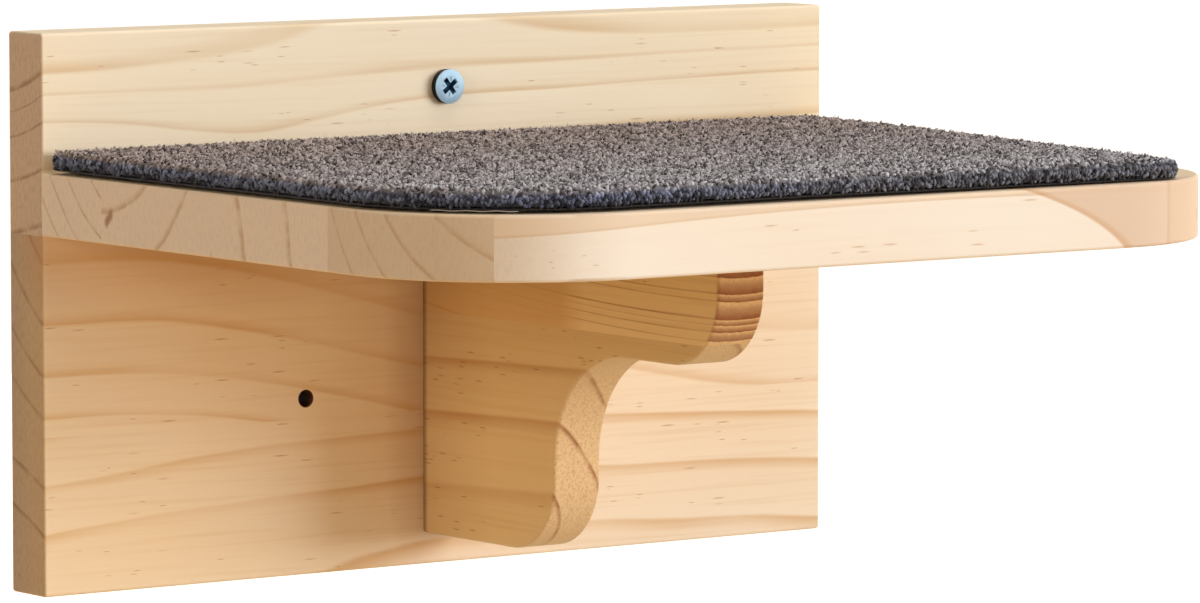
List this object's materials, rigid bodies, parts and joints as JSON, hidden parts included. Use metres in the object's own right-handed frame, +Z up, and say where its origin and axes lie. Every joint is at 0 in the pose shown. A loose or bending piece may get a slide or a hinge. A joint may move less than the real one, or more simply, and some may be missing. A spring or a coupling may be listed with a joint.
{
  "type": "cat wall step",
  "caption": "Wooden wall step for a cat: a rounded shelf with a carpet mat, on a wall board, held up by a coved bracket.",
  "frame": {"origin": "middle of the wall face, the back of the wall board", "axes": "+X to the right along the wall, +Y into the wall, +Z up; the shelf reaches out to -Y"},
  "size_m": [0.28, 0.2596, 0.162],
  "materials": {
    "pine": "sanded edge-glued pine, unvarnished, matt",
    "carpet_pile": "charcoal melange needle-felt carpet",
    "carpet_backing": "dark latex backing with a fine woven scrim",
    "mat_tape": "double-sided tape, hidden under the mat",
    "zinc_plated_steel": "bright blue-white zinc plating"
  },
  "bodies": {
    "root": {"board_stave_1": "pine", "board_stave_2": "pine", "board_stave_3": "pine", "shelf_stave_1": "pine", "shelf_stave_2": "pine", "shelf_stave_3": "pine", "shelf_stave_4": "pine", "shelf_stave_5": "pine", "bracket_foot_stave": "pine", "bracket_arm_stave": "pine", "carpet_pile": "carpet_pile", "carpet_backing": "carpet_backing", "mat_tape_front": "mat_tape", "mat_tape_middle": "mat_tape", "mat_tape_rear": "mat_tape", "wall_screw": "zinc_plated_steel", "shelf_screw_left": "zinc_plated_steel", "shelf_screw_centre": "zinc_plated_steel", "shelf_screw_right": "zinc_plated_steel", "bracket_screw_upper": "zinc_plated_steel", "bracket_screw_lower": "zinc_plated_steel", "bracket_arm_screw_rear": "zinc_plated_steel", "bracket_arm_screw_front": "zinc_plated_steel"}
  },
  "joints": []
}
